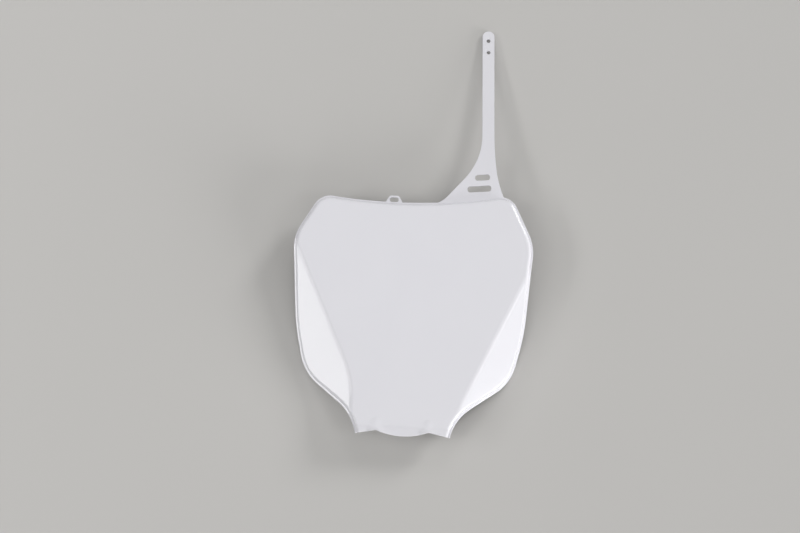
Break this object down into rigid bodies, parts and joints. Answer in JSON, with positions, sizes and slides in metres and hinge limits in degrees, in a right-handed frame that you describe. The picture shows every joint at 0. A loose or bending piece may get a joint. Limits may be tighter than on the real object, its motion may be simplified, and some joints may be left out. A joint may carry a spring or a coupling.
{
  "type": "racing number board",
  "caption": "Front number board of an off-road racing motorbike: glossy white moulding with a flat field, bent-back wings, stepped border, scalloped foot and slotted strap.",
  "frame": {"origin": "on the surface the board lies on, below the middle of its overall length and width", "axes": "+X to the right seen from the front, +Y from the foot to the strap tip, +Z out of the face"},
  "size_m": [0.2418, 0.4242, 0.0291],
  "materials": {
    "white_plastic": "glossy moulded polypropylene"
  },
  "bodies": {
    "root": {"number_board": "white_plastic"}
  },
  "joints": []
}
